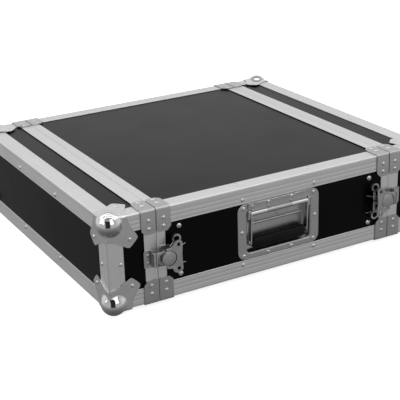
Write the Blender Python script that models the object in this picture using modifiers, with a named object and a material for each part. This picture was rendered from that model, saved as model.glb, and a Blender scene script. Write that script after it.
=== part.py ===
"""A 3U double-door equipment rack case: 7 mm laminated ply panels held in aluminium edge angles and
locking frames, two lift-off lids, ball corners, butterfly latches, sprung handles and rack rails.

Metres, +Z up. X is across the rack, Y runs from the front lid (-Y) to the rear lid (+Y), and the
origin is on the surface that the case stands on, under its middle.
"""

import math

import bmesh
import bpy
from mathutils import Matrix, Vector

# Outside of the aluminium, and the sheet and panel thicknesses
CASE_WIDTH = 0.527
CASE_DEPTH = 0.6006
CASE_HEIGHT = 0.150
ALUMINIUM = 0.0013
PLY = 0.0067
GAP = 0.0003
ANGLE_LEG = 0.0272
EDGE_ROUND = 0.0018

# The seam between lid and body, measured along Y from the middle of the case
SEAM = 0.2183
BODY_STRIP = 0.0147
LID_STRIP = 0.0204
TONGUE_LONG = 0.004
TONGUE_THICK = 0.002

# Ball corners
BALL_RADIUS = 0.0197
BALL_INSET = 0.0109
PLATE_STEEL = 0.0015

# Corner brackets on the locking frames
BRACKET_WIDE = 0.0245
BRACKET_LEG = 0.0375

# 19 inch equipment
RACK_UNIT = 0.04445
RACK_UNITS = 3
RACK_HOLE_SPACING = 0.4651
RACK_CLEAR_WIDTH = 0.445
RAIL_STEEL = 0.002
RAIL_FACE = 0.189
RAIL_DEEP = 0.022
CAGE_HOLE = 0.0095

# Butterfly latches, set out from the hub's axis, which is a little below the middle of the case
LATCH_Y = 0.206
LATCH_LOW = 0.002
HUB_RADIUS = 0.0113
POST_RADIUS = 0.0079
WING_HINGE_BACK = 0.003
WING_HINGE_PROUD = 0.0155
HOOK_THROW = 0.005

# Handles, set out from the middle of the side's aluminium face
FLANGE_WIDE = 0.153
FLANGE_HIGH = 0.0944
DISH_HALF = 0.0595
DISH_LOW = -0.0365
DISH_TOP = 0.0326
DISH_DEEP = 0.0126
BAIL_AXIS_PROUD = 0.001
BAIL_AXIS_HIGH = 0.029
GRIP_PROUD = -0.0035
GRIP_HIGH = -0.021

HALF_X = CASE_WIDTH / 2
HALF_Y = CASE_DEPTH / 2
HALF_Z = CASE_HEIGHT / 2
MIDDLE_Z = HALF_Z + BALL_RADIUS - BALL_INSET
PANEL_OUT = ALUMINIUM + GAP
PANEL_IN = PANEL_OUT + PLY

for old in list(bpy.data.objects):
    bpy.data.objects.remove(old, do_unlink=True)
case_parts = bpy.data.collections.new("equipment_rack_case")
helpers = bpy.data.collections.new("cutters")
bpy.context.scene.collection.children.link(case_parts)
bpy.context.scene.collection.children.link(helpers)


def finish(name, colour, roughness, metallic):
    material = bpy.data.materials.new(name)
    material.use_nodes = True
    shader = material.node_tree.nodes["Principled BSDF"]
    shader.inputs["Base Color"].default_value = (*colour, 1.0)
    shader.inputs["Roughness"].default_value = roughness
    shader.inputs["Metallic"].default_value = metallic
    return material


LAMINATE = finish("black_laminate", (0.02, 0.02, 0.022), 0.45, 0.0)
EXTRUSION = finish("aluminium_extrusion", (0.62, 0.63, 0.64), 0.38, 1.0)
CHROME = finish("chromed_steel", (0.75, 0.75, 0.77), 0.12, 1.0)
ZINC = finish("zinc_plated_steel", (0.5, 0.51, 0.52), 0.32, 1.0)
RUBBER = finish("black_rubber", (0.012, 0.012, 0.013), 0.7, 0.0)
RAIL_PAINT = finish("black_painted_steel", (0.03, 0.03, 0.032), 0.4, 0.6)


# ---- shapes ----


def helper(shape):
    """A mesh object that holds this bmesh, kept out of the render until it is placed."""
    bmesh.ops.remove_doubles(shape, verts=shape.verts, dist=1e-6)
    bmesh.ops.recalc_face_normals(shape, faces=shape.faces)
    mesh = bpy.data.meshes.new("shape")
    shape.to_mesh(mesh)
    shape.free()
    made = bpy.data.objects.new("shape", mesh)
    made.hide_render = True
    made.display_type = "WIRE"
    helpers.objects.link(made)
    return made


def block(low, high):
    """A box between two corners."""
    shape = bmesh.new()
    bmesh.ops.create_cube(shape, size=1)
    low, high = Vector(low), Vector(high)
    bmesh.ops.scale(shape, vec=high - low, verts=shape.verts)
    bmesh.ops.translate(shape, vec=(low + high) / 2, verts=shape.verts)
    return helper(shape)


def bar(radius, start, end, sides=16):
    """A round bar between two points."""
    shape = bmesh.new()
    start, end = Vector(start), Vector(end)
    bmesh.ops.create_cone(
        shape, cap_ends=True, segments=sides, radius1=radius, radius2=radius, depth=(end - start).length
    )
    turn = (end - start).to_track_quat("Z", "Y").to_matrix().to_4x4()
    bmesh.ops.transform(shape, matrix=Matrix.Translation((start + end) / 2) @ turn, verts=shape.verts)
    return helper(shape)


SHEET_TURN = {
    "X": Matrix(((0, 0, 1, 0), (1, 0, 0, 0), (0, 1, 0, 0), (0, 0, 0, 1))),
    "Y": Matrix(((1, 0, 0, 0), (0, 0, -1, 0), (0, 1, 0, 0), (0, 0, 0, 1))),
    "Z": Matrix.Identity(4),
}


def sheet(outlines, low, high, normal):
    """Closed outlines, the later ones holes, extruded along the normal axis from low to high."""
    curve = bpy.data.curves.new("outline", "CURVE")
    curve.dimensions = "2D"
    curve.fill_mode = "BOTH"
    curve.extrude = (high - low) / 2
    for outline in outlines:
        spline = curve.splines.new("POLY")
        spline.points.add(len(outline) - 1)
        for point, (x, y) in zip(spline.points, outline):
            point.co = (x, y, 0, 1)
        spline.use_cyclic_u = True
    made = bpy.data.objects.new("outline", curve)
    helpers.objects.link(made)
    graph = bpy.context.evaluated_depsgraph_get()
    shape = bmesh.new()
    flat = bpy.data.meshes.new_from_object(made.evaluated_get(graph))
    shape.from_mesh(flat)
    bpy.data.objects.remove(made, do_unlink=True)
    bpy.data.meshes.remove(flat)
    along = {"X": (1, 0, 0), "Y": (0, 1, 0), "Z": (0, 0, 1)}[normal]
    place = Matrix.Translation(Vector(along) * (low + high) / 2) @ SHEET_TURN[normal]
    bmesh.ops.transform(shape, matrix=place, verts=shape.verts)
    return helper(shape)


def join(first, *others, operation="UNION"):
    """The first shape with the others joined to it, or cut from it."""
    for other in others:
        modifier = first.modifiers.new("join", "BOOLEAN")
        modifier.operation = operation
        modifier.object = other
        graph = bpy.context.evaluated_depsgraph_get()
        shape = bpy.data.meshes.new_from_object(first.evaluated_get(graph))
        first.modifiers.clear()
        first.data = shape
        bpy.data.objects.remove(other, do_unlink=True)
    return first


def cut(first, *cutters):
    return join(first, *cutters, operation="DIFFERENCE")


def place(made, name, material, location=(0, 0, 0), signs=(1, 1, 1)):
    """Names a finished shape and puts it in the case; signs mirror it to its own corner or side."""
    part = bpy.data.objects.new(name, made.data)
    part.location = location
    part.scale = signs
    if not part.data.materials:
        part.data.materials.append(material)
        part.data.shade_smooth()
        part.data.set_sharp_from_angle(angle=math.radians(35))
    case_parts.objects.link(part)
    return part


def circle(x, y, radius, sides=16):
    steps = [2 * math.pi * i / sides for i in range(sides)]
    return [(x + radius * math.cos(a), y + radius * math.sin(a)) for a in steps]


def arc(x, y, radius, start, end, steps):
    """Points along an arc between two angles in degrees, ends included."""
    angles = [math.radians(start + (end - start) * i / steps) for i in range(steps + 1)]
    return [(x + radius * math.cos(a), y + radius * math.sin(a)) for a in angles]


def rectangle(x0, y0, x1, y1, radius=0.0, steps=4):
    """A rectangle, with round corners where a radius is given."""
    if not radius:
        return [(x0, y0), (x1, y0), (x1, y1), (x0, y1)]
    points = []
    corners = ((x1, y0, -90), (x1, y1, 0), (x0, y1, 90), (x0, y0, 180))
    for x, y, angle in corners:
        cx = x - radius if x == x1 else x + radius
        cy = y - radius if y == y1 else y + radius
        points += arc(cx, cy, radius, angle, angle + 90, steps)
    return points


def capsule(x0, y0, r0, x1, y1, r1, steps=6):
    """The outline round two circles of different radius, such as a strap that tapers."""
    length = math.hypot(x1 - x0, y1 - y0)
    along = math.degrees(math.atan2(y1 - y0, x1 - x0))
    lean = math.degrees(math.acos((r0 - r1) / length))
    first = arc(x0, y0, r0, along + lean, along + 360 - lean, steps)
    return first + arc(x1, y1, r1, along - lean, along + lean, steps)


def frame_ring(section):
    """One section carried round the case with mitred corners. Its points are (Y, depth below the
    aluminium's outer face)."""
    shape = bmesh.new()
    loops = []
    for sx, sz in ((1, 1), (-1, 1), (-1, -1), (1, -1)):
        corner = [(sx * (HALF_X - depth), y, MIDDLE_Z + sz * (HALF_Z - depth)) for y, depth in section]
        loops.append([shape.verts.new(point) for point in corner])
    count = len(section)
    for i in range(4):
        near, far = loops[i], loops[(i + 1) % 4]
        for j in range(count):
            k = (j + 1) % count
            shape.faces.new((near[j], near[k], far[k], far[j]))
    return helper(shape)


def angle_section(sx, sz):
    """The L outline in X and Z of an edge angle at one long edge, with its outer edge rounded."""
    x, z = HALF_X, HALF_Z
    leg, thick = ANGLE_LEG, ALUMINIUM
    points = [(x - leg, z), *arc(x - EDGE_ROUND, z - EDGE_ROUND, EDGE_ROUND, 90, 0, 3), (x, z - leg)]
    points += [(x - thick, z - leg), (x - thick, z - thick), (x - leg, z - thick)]
    return [(sx * a, MIDDLE_Z + sz * b) for a, b in points]


# ---- the body ----


def panel_with_handle_hole(sx):
    """A side panel of the body, with the cut-out that its handle's dish drops through."""
    end = SEAM - 2 * ALUMINIUM - GAP
    high = HALF_Z - PANEL_IN - GAP
    outer = rectangle(-end, -high, end, high)
    wall = PLATE_STEEL + 2 * GAP
    hole = rectangle(-DISH_HALF - wall, DISH_LOW - wall, DISH_HALF + wall, DISH_TOP + wall, 0.006)
    made = sheet([outer, hole], -PANEL_IN, -PANEL_OUT, "X")
    name = "left_side_panel" if sx < 0 else "right_side_panel"
    place(made, name, LAMINATE, (sx * HALF_X, 0, MIDDLE_Z), (sx, 1, 1))


def body_panels():
    end = SEAM - 2 * ALUMINIUM - GAP
    wide = HALF_X - PANEL_OUT
    for name, sz in (("top_panel", 1), ("bottom_panel", -1)):
        near, far = sorted((sz * (HALF_Z - PANEL_OUT), sz * (HALF_Z - PANEL_IN)))
        made = block((-wide, -end, MIDDLE_Z + near), (wide, end, MIDDLE_Z + far))
        place(made, name, LAMINATE)
    for sx in (-1, 1):
        panel_with_handle_hole(sx)


def body_angles():
    end = SEAM - BODY_STRIP - GAP
    for sx, side in ((-1, "left"), (1, "right")):
        for sz, level in ((1, "top"), (-1, "bottom")):
            made = sheet([angle_section(sx, sz)], -end, end, "Y")
            place(made, f"{level}_{side}_edge_angle", EXTRUSION)


def bracket_leg(near, far, outer_chop, seam_chop):
    """Half a corner bracket seen square on: (distance along Y, distance along the leg)."""
    return [
        (near, -PLATE_STEEL),
        (far, -PLATE_STEEL),
        (far, BRACKET_LEG - outer_chop),
        (far - math.copysign(outer_chop, far - near), BRACKET_LEG),
        (near + math.copysign(seam_chop, far - near), BRACKET_LEG),
        (near, BRACKET_LEG - seam_chop),
    ]


def corner_brackets(frame, near, far, foot_near, foot_far):
    """Joins the four bent corner brackets to a locking frame; a foot under each meets the frame."""
    outset = GAP + PLATE_STEEL
    for sx in (-1, 1):
        for sz in (-1, 1):
            leg = bracket_leg(near, far, 0.007, 0.003)
            side = [(y, MIDDLE_Z + sz * (HALF_Z - along)) for y, along in leg]
            top = [(sx * (HALF_X - along), y) for y, along in leg]
            low, high = sorted((sx * (HALF_X + GAP), sx * (HALF_X + outset)))
            side_leg = sheet([side], low, high, "X")
            low, high = sorted((sz * (HALF_Z + GAP), sz * (HALF_Z + outset)))
            top_leg = sheet([top], MIDDLE_Z + low, MIDDLE_Z + high, "Z")
            feet = []
            reach = BRACKET_LEG - 0.010
            a, b = sorted((foot_near, foot_far))
            x0, x1 = sorted((sx * (HALF_X - reach), sx * (HALF_X + 2 * GAP)))
            z0, z1 = sorted((sz * (HALF_Z - ALUMINIUM / 2), sz * (HALF_Z + 2 * GAP)))
            feet.append(block((x0, a, MIDDLE_Z + z0), (x1, b, MIDDLE_Z + z1)))
            x0, x1 = sorted((sx * (HALF_X - ALUMINIUM / 2), sx * (HALF_X + 2 * GAP)))
            z0, z1 = sorted((sz * (HALF_Z - reach), sz * HALF_Z))
            feet.append(block((x0, a, MIDDLE_Z + z0), (x1, b, MIDDLE_Z + z1)))
            frame = join(frame, side_leg, top_leg, *feet)
    return frame


def body_locking_frames():
    """The tongue half of each locking frame, round the front and rear openings of the body."""
    face = SEAM - GAP
    groove_mid = PANEL_IN / 2
    for sy, name in ((-1, "front_body_locking_frame"), (1, "rear_body_locking_frame")):
        section = [
            (face - BODY_STRIP, 0),
            (face, 0),
            (face, groove_mid - TONGUE_THICK / 2),
            (face + TONGUE_LONG, groove_mid - TONGUE_THICK / 2),
            (face + TONGUE_LONG, groove_mid + TONGUE_THICK / 2),
            (face, groove_mid + TONGUE_THICK / 2),
            (face, PANEL_IN),
            (face - ALUMINIUM, PANEL_IN),
            (face - ALUMINIUM, ALUMINIUM),
            (face - BODY_STRIP, ALUMINIUM),
        ]
        frame = frame_ring([(sy * y, depth) for y, depth in section])
        near = sy * (face - 2 * GAP)
        far = sy * (face - BRACKET_WIDE)
        frame = corner_brackets(frame, near, far, sy * (face - 0.001), sy * (face - BODY_STRIP + 0.001))
        place(frame, name, EXTRUSION)


def rack_rails():
    """The four L-section rails that a 19 inch unit bolts to, with square holes for cage nuts."""
    high = HALF_Z - PANEL_IN - GAP
    outer = HALF_X - PANEL_IN - GAP
    inner = RACK_CLEAR_WIDTH / 2
    bottom = -RACK_UNITS * RACK_UNIT / 2
    half = CAGE_HOLE / 2
    middle = RACK_HOLE_SPACING / 2
    holes = []
    for unit in range(RACK_UNITS):
        for step in (0.00635, 0.022225, 0.0381):
            z = bottom + unit * RACK_UNIT + step
            holes.append(rectangle(middle - half, z - half, middle + half, z + half))
    for sx, side in ((-1, "left"), (1, "right")):
        for sy, end in ((-1, "front"), (1, "rear")):
            face = sheet([rectangle(inner, -high, outer, high), *holes], -RAIL_FACE, RAIL_STEEL - RAIL_FACE, "Y")
            leg = block((outer - RAIL_STEEL, RAIL_STEEL / 2 - RAIL_FACE, -high), (outer, RAIL_DEEP - RAIL_FACE, high))
            place(join(face, leg), f"{end}_{side}_rack_rail", RAIL_PAINT, (0, 0, MIDDLE_Z), (sx, -sy, 1))


# ---- the lids ----


def lid_shell(sy, end):
    """The lid's face panel, its rim of four walls, its edge angles and its half of the lock."""
    wide, high = HALF_X - PANEL_OUT, HALF_Z - PANEL_OUT
    near, far = sorted((sy * (HALF_Y - PANEL_OUT), sy * (HALF_Y - PANEL_IN)))
    made = block((-wide, near, MIDDLE_Z - high), (wide, far, MIDDLE_Z + high))
    place(made, f"{end}_lid_face_panel", LAMINATE)

    lock_face = SEAM + GAP
    groove_end = lock_face + TONGUE_LONG + 2 * GAP
    lock_web = groove_end + ALUMINIUM
    rim = [
        (lock_web + GAP, PANEL_OUT),
        (HALF_Y - PANEL_IN - GAP, PANEL_OUT),
        (HALF_Y - PANEL_IN - GAP, PANEL_IN),
        (lock_web + GAP, PANEL_IN),
    ]
    place(frame_ring([(sy * y, depth) for y, depth in rim]), f"{end}_lid_rim", LAMINATE)

    groove_mid = PANEL_IN / 2
    groove_half = TONGUE_THICK / 2 + GAP
    lock = [
        (lock_face, 0),
        (lock_face + LID_STRIP, 0),
        (lock_face + LID_STRIP, ALUMINIUM),
        (lock_web, ALUMINIUM),
        (lock_web, PANEL_IN),
        (lock_face, PANEL_IN),
        (lock_face, groove_mid + groove_half),
        (groove_end, groove_mid + groove_half),
        (groove_end, groove_mid - groove_half),
        (lock_face, groove_mid - groove_half),
    ]
    frame = frame_ring([(sy * y, depth) for y, depth in lock])
    near = sy * (lock_face + 2 * GAP)
    far = sy * (lock_face + BRACKET_WIDE)
    frame = corner_brackets(frame, near, far, sy * (lock_face + 0.001), sy * (lock_face + LID_STRIP - 0.001))
    place(frame, f"{end}_lid_locking_frame", EXTRUSION)

    edge = [
        (HALF_Y - ANGLE_LEG, 0),
        *arc(HALF_Y - EDGE_ROUND, EDGE_ROUND, EDGE_ROUND, -90, 0, 3),
        (HALF_Y, ANGLE_LEG),
        (HALF_Y - ALUMINIUM, ANGLE_LEG),
        (HALF_Y - ALUMINIUM, ALUMINIUM),
        (HALF_Y - ANGLE_LEG, ALUMINIUM),
    ]
    angles = frame_ring([(sy * y, depth) for y, depth in edge])
    start, stop = sorted((sy * (lock_face + LID_STRIP + GAP), sy * (HALF_Y - ANGLE_LEG / 2)))
    for sx in (-1, 1):
        for sz in (-1, 1):
            angles = join(angles, sheet([angle_section(sx, sz)], start, stop, "Y"))
    place(angles, f"{end}_lid_edge_angles", EXTRUSION)


def ball_corner_shape():
    """A ball corner with the case's corner at its origin and the case on its positive sides."""
    petal = [(0.0353, -GAP - PLATE_STEEL), (0.0356, 0.004), (0.0380, 0.0135), (0.0435, 0.024)]
    petal += [(0.0496, 0.0326), (0.0503, 0.0358), (0.0486, 0.0390), (0.0443, 0.0443)]
    petal += [(b, a) for a, b in reversed(petal[:-1])]
    petal += [(-GAP - PLATE_STEEL, BALL_INSET), (BALL_INSET, -GAP - PLATE_STEEL)]
    ball = bmesh.new()
    bmesh.ops.create_uvsphere(ball, u_segments=20, v_segments=10, radius=BALL_RADIUS)
    bmesh.ops.translate(ball, vec=(BALL_INSET, BALL_INSET, BALL_INSET), verts=ball.verts)
    made = helper(ball)
    for normal in "XYZ":
        made = join(made, sheet([petal], -GAP - PLATE_STEEL, GAP, normal))
    return cut(made, block((-GAP, -GAP, -GAP), (0.08, 0.08, 0.08)))


def ball_corners():
    made = ball_corner_shape()
    for sy, end in ((-1, "front"), (1, "rear")):
        for sz, level in ((1, "top"), (-1, "bottom")):
            for sx, side in ((-1, "left"), (1, "right")):
                corner = (sx * HALF_X, sy * HALF_Y, MIDDLE_Z + sz * HALF_Z)
                place(made, f"{end}_{level}_{side}_ball_corner", CHROME, corner, (-sx, -sy, -sz))


# ---- a butterfly latch: X proud of the aluminium, Y away from the seam, Z up, from the hub's axis ----


def latch_base():
    """The base plate, with two raised eyes on a bar and the stud that the hub turns on."""
    plate = sheet([rectangle(-0.008, -0.0135, 0.010, 0.0135, 0.003)], GAP, 0.0023, "X")
    bridge = sheet([rectangle(0.008, -0.008, 0.018, 0.008)], GAP, 0.0023, "X")
    spine = sheet([rectangle(0.0162, -0.022, 0.0208, 0.022)], GAP, 0.0060, "X")
    made = join(plate, bridge, spine)
    for side in (-1, 1):
        made = join(made, sheet([circle(0.0185, side * 0.0265, 0.0073)], -ALUMINIUM, 0.0060, "X"))
    stud = bar(0.0025, (0.001, 0, 0), (0.0134, 0, 0), 12)
    eyes = [sheet([circle(0.0185, side * 0.0265, 0.0036, 12)], -0.003, 0.008, "X") for side in (-1, 1)]
    return cut(join(made, stud), *eyes)


def latch_hook():
    """The flat hook that the hub draws back, slotted for the hub and bent down at its claw."""
    clear = POST_RADIUS + GAP
    slot = rectangle(-0.016, -clear, clear + HOOK_THROW, clear, clear - 0.0001, 5)
    plate = sheet([rectangle(-0.024, -0.011, 0.0145, 0.011), slot], 0.0105, 0.0125, "X")
    claw = block((0.0063, -0.024, -0.011), (0.012, -0.022, 0.011))
    return join(plate, claw)


def latch_hub():
    """The turning hub: post, boss and disc in one, bored for the base's stud, with the wing's pin."""
    profile = [(0.0028, 0.0138), (0.0, 0.0138)]
    outer = [(0.0, 0.0172), (0.0105, 0.0172), (HUB_RADIUS, 0.0165), (HUB_RADIUS, 0.0142)]
    outer += [(0.0098, 0.0142), (0.0098, 0.0128), (POST_RADIUS, 0.0128), (POST_RADIUS, 0.0026), (0.0028, 0.0026)]
    shape = bmesh.new()
    points = outer + profile
    verts = [shape.verts.new((radius, 0, height)) for radius, height in points]
    for near, far in zip(verts, verts[1:]):
        shape.edges.new((near, far))
    mesh = bpy.data.meshes.new("profile")
    shape.to_mesh(mesh)
    shape.free()
    turned = bpy.data.objects.new("hub", mesh)
    helpers.objects.link(turned)
    screw = turned.modifiers.new("turn", "SCREW")
    screw.steps = screw.render_steps = 20
    screw.use_merge_vertices = True
    screw.merge_threshold = 0.00001
    graph = bpy.context.evaluated_depsgraph_get()
    shape = bmesh.new()
    solid = bpy.data.meshes.new_from_object(turned.evaluated_get(graph))
    shape.from_mesh(solid)
    bpy.data.objects.remove(turned, do_unlink=True)
    bmesh.ops.transform(shape, matrix=SHEET_TURN["X"], verts=shape.verts)
    pin_y = -WING_HINGE_BACK
    pin = bar(0.0008, (WING_HINGE_PROUD, pin_y, -0.0145), (WING_HINGE_PROUD, pin_y, 0.0145), 10)
    return join(helper(shape), pin)


def latch_wing():
    """The folding butterfly plate, drawn from its own hinge line: crescent, two lobes, knuckles."""
    shift = WING_HINGE_BACK
    lobe_y, lobe_z, lobe_r = 0.0153, 0.0193, 0.0072
    upper = [(lobe_y + lobe_r, 0.0), *arc(lobe_y, lobe_z, lobe_r, 0, 150, 7), (0.0, 0.0165), (-0.005, 0.0152)]
    clear = HUB_RADIUS + 0.001
    start = math.degrees(math.acos(-shift / clear))
    upper.append((-0.005, clear * math.sin(math.radians(start))))
    upper += arc(0, 0, clear, start, 0, 6)
    lower = [(y, -z) for y, z in reversed(upper[1:-1])]
    outline = [(y + shift, z) for y, z in upper + lower]
    holes = [circle(lobe_y + shift, side * lobe_z, 0.0032, 12) for side in (-1, 1)]
    made = sheet([outline, *holes], -0.0001, 0.0017, "X")
    for side in (-1, 1):
        near, far = sorted((side * 0.0121, side * 0.0150))
        made = join(made, sheet([circle(0, 0, 0.0017, 12)], near, far, "Z"))
    return cut(made, bar(0.0011, (0, 0, -0.02), (0, 0, 0.02), 12))


def latch_keeper():
    """The keeper plate on the lid's strip, with the raised lip that the hook takes hold of."""
    plate = sheet([rectangle(-0.0355, -0.014, -0.0210, 0.014, 0.002)], GAP, 0.0018, "X")
    lip = block((0.001, -0.0225, -0.013), (0.0058, -0.0210, 0.013))
    return join(plate, lip)


def latches():
    base, hook, hub, wing, keeper = latch_base(), latch_hook(), latch_hub(), latch_wing(), latch_keeper()
    for sy, end in ((-1, "front"), (1, "rear")):
        for sx, side in ((-1, "left"), (1, "right")):
            name = f"{end}_{side}_latch"
            high = MIDDLE_Z - LATCH_LOW
            centre = (sx * HALF_X, sy * LATCH_Y, high)
            signs = (sx, -sy, 1)
            place(base, f"{name}_base", ZINC, centre, signs)
            place(hook, f"{name}_hook", ZINC, centre, signs)
            place(hub, f"{name}_hub", ZINC, centre, signs)
            place(keeper, f"{name}_keeper", ZINC, centre, signs)
            hinge = (sx * (HALF_X + WING_HINGE_PROUD), sy * (LATCH_Y + WING_HINGE_BACK), high)
            place(wing, f"{name}_wing", ZINC, hinge, signs)


# ---- a sprung handle: X proud of the aluminium, Y along the side, Z up, from the side's middle ----


def handle_dish():
    """The pressed dish: flange, sunk pan and the cover over the return spring with its rolled edge."""
    opening = rectangle(-DISH_HALF, DISH_LOW, DISH_HALF, DISH_TOP, 0.005)
    wall = PLATE_STEEL
    outside = rectangle(-DISH_HALF - wall, DISH_LOW - wall, DISH_HALF + wall, DISH_TOP + wall, 0.0065)
    flange = rectangle(-FLANGE_WIDE / 2, -FLANGE_HIGH / 2, FLANGE_WIDE / 2, FLANGE_HIGH / 2, 0.014, 5)
    made = sheet([flange, opening], -ALUMINIUM, 0.0002, "X")
    walls = sheet([outside, opening], -DISH_DEEP - wall / 2, -ALUMINIUM / 2, "X")
    back = sheet([outside], -DISH_DEEP - wall, -DISH_DEEP, "X")
    cover = block((-DISH_DEEP - wall / 2, -0.048, 0.0095), (-0.0075, 0.048, 0.024))
    edge = bar(0.0018, (-0.0072, -0.047, 0.0105), (-0.0072, 0.047, 0.0105), 10)
    return join(made, walls, back, cover, edge)


def hinge_leaf():
    """The fixed half of the hinge: a leaf on the flange with the middle knuckle rolled from it."""
    proud, high = BAIL_AXIS_PROUD, BAIL_AXIS_HIGH
    leaf = sheet([rectangle(-0.058, 0.0330, 0.058, 0.041)], 0.0005, 0.0018, "X")
    tab = sheet([rectangle(-0.022, high, 0.022, 0.034)], 0.0005, 0.0018, "X")
    knuckle = sheet([circle(proud, high, 0.0032)], -0.0223, 0.0223, "Y")
    bore = sheet([circle(proud, high, 0.0018, 12)], -0.03, 0.03, "Y")
    return cut(join(leaf, tab, knuckle), bore)


def handle_bail():
    """The swinging bail, drawn from its pin: knuckles, two side straps and the bar inside the grip."""
    grip_x, grip_z = GRIP_PROUD - BAIL_AXIS_PROUD, GRIP_HIGH - BAIL_AXIS_HIGH
    made = bar(0.003, (grip_x, -0.053, grip_z), (grip_x, 0.053, grip_z), 12)
    for side in (-1, 1):
        near, far = sorted((side * 0.052, side * 0.054))
        strap = sheet([capsule(0, 0, 0.0033, grip_x, grip_z, 0.0055)], near, far, "Y")
        near, far = sorted((side * 0.0227, side * 0.0525))
        knuckle = sheet([circle(0, 0, 0.0032)], near, far, "Y")
        near, far = sorted((side * 0.0535, side * 0.0555))
        bolt_head = sheet([circle(grip_x, grip_z, 0.0035, 12)], near, far, "Y")
        made = join(made, strap, knuckle, bolt_head)
    return cut(made, bar(0.0018, (0, -0.06, 0), (0, 0.06, 0), 12))


def handle_grip():
    """The moulded grip over the bail's bar, an oval tube drawn from the bail's pin."""
    grip_x, grip_z = GRIP_PROUD - BAIL_AXIS_PROUD, GRIP_HIGH - BAIL_AXIS_HIGH
    steps = [2 * math.pi * i / 20 for i in range(20)]
    oval = [(grip_x + 0.0075 * math.cos(a), grip_z + 0.011 * math.sin(a)) for a in steps]
    return sheet([oval, circle(grip_x, grip_z, 0.0034, 12)], -0.0495, 0.0495, "Y")


def handles():
    dish, leaf, bail, grip = handle_dish(), hinge_leaf(), handle_bail(), handle_grip()
    pin = bar(0.0015, (0, -0.0545, 0), (0, 0.0545, 0), 12)
    for sx, side in ((-1, "left"), (1, "right")):
        centre = (sx * HALF_X, 0, MIDDLE_Z)
        axis = (sx * (HALF_X + BAIL_AXIS_PROUD), 0, MIDDLE_Z + BAIL_AXIS_HIGH)
        place(dish, f"{side}_handle_dish", ZINC, centre, (sx, 1, 1))
        place(leaf, f"{side}_handle_hinge_leaf", ZINC, centre, (sx, 1, 1))
        place(pin, f"{side}_handle_hinge_pin", ZINC, axis, (sx, 1, 1))
        place(bail, f"{side}_handle_bail", CHROME, axis, (sx, 1, 1))
        place(grip, f"{side}_handle_grip", RUBBER, axis, (sx, 1, 1))


body_panels()
body_angles()
body_locking_frames()
rack_rails()
for lid_sign, lid_end in ((-1, "front"), (1, "rear")):
    lid_shell(lid_sign, lid_end)
ball_corners()
latches()
handles()
for leftover in list(helpers.objects):
    bpy.data.objects.remove(leftover, do_unlink=True)
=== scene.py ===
"""The looks of a 3U double-door equipment rack case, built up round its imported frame.

Metres, +Z up: X is across the rack and Y runs from the front lid (-Y) to the rear lid (+Y).
"""

import math

import bmesh
import bpy
from mathutils import Matrix, Quaternion, Vector


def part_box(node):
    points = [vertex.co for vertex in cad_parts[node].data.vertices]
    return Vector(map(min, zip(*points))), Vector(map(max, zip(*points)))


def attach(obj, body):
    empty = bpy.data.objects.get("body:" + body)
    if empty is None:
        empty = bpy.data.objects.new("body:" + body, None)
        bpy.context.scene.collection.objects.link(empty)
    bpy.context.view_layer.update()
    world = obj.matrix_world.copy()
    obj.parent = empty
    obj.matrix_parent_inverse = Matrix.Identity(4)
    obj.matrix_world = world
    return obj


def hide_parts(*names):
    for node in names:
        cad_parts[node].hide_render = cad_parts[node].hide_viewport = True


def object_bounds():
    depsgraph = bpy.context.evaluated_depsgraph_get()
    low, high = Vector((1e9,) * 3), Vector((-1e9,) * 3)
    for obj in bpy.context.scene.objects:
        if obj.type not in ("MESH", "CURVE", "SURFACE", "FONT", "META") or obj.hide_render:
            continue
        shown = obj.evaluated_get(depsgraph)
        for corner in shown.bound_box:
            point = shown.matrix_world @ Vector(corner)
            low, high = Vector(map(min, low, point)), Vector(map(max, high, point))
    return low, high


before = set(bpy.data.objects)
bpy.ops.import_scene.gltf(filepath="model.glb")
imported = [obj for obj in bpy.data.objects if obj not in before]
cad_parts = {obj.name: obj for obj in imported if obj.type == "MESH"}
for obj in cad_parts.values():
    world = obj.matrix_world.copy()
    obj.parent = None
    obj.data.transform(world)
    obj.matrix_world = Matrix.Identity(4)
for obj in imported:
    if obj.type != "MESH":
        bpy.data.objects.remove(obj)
cad_low, cad_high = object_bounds()


# ---- The studio ----
# A plain white floor under an even, pale surround: three long soft boxes hang over the case and two
# window-sized ones stand in front of it. Bright metal sees a mid grey below the horizon.


class Wire:
    """A socket of a node tree. A sum written with it adds the Math nodes that work it out."""

    def __init__(self, tree, socket=None):
        self.tree = tree
        self.socket = socket

    def feed(self, target):
        self.tree.links.new(self.socket, target)

    def node(self, kind, settings=None, inputs=None, out=0):
        """A new node of this type, with its settings, then its sockets' values or links."""
        made = self.tree.nodes.new("ShaderNode" + kind)
        for name, value in (settings or {}).items():
            if name == "stops":
                for i, (place, level) in enumerate(value):
                    stop = made.color_ramp.elements[i] if i < 2 else made.color_ramp.elements.new(place)
                    stop.position = place
                    stop.color = (level, level, level, 1)
            else:
                setattr(made, name, value)
        for name, value in (inputs or {}).items():
            if isinstance(value, Wire):
                value.feed(made.inputs[name])
            else:
                made.inputs[name].default_value = value
        return Wire(self.tree, made.outputs[out])

    def maths(self, operation, *values):
        return self.node("Math", {"operation": operation}, dict(enumerate(values)))

    def __add__(self, other):
        return self.maths("ADD", self, other)

    def __radd__(self, other):
        return self.maths("ADD", other, self)

    def __sub__(self, other):
        return self.maths("SUBTRACT", self, other)

    def __rsub__(self, other):
        return self.maths("SUBTRACT", other, self)

    def __mul__(self, other):
        return self.maths("MULTIPLY", self, other)

    def __rmul__(self, other):
        return self.maths("MULTIPLY", other, self)

    def step(self, low, high):
        """0 below low, 1 above high, and a smooth rise between."""
        settings = {"interpolation_type": "SMOOTHSTEP"}
        return self.node("MapRange", settings, {"Value": self, "From Min": low, "From Max": high})

    def blend(self, first, second):
        """The first colour where this wire is 0 and the second where it is 1."""
        settings = {"data_type": "RGBA", "clamp_factor": True}
        return self.node("Mix", settings, {0: self, 6: first, 7: second}, out=2)


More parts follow.
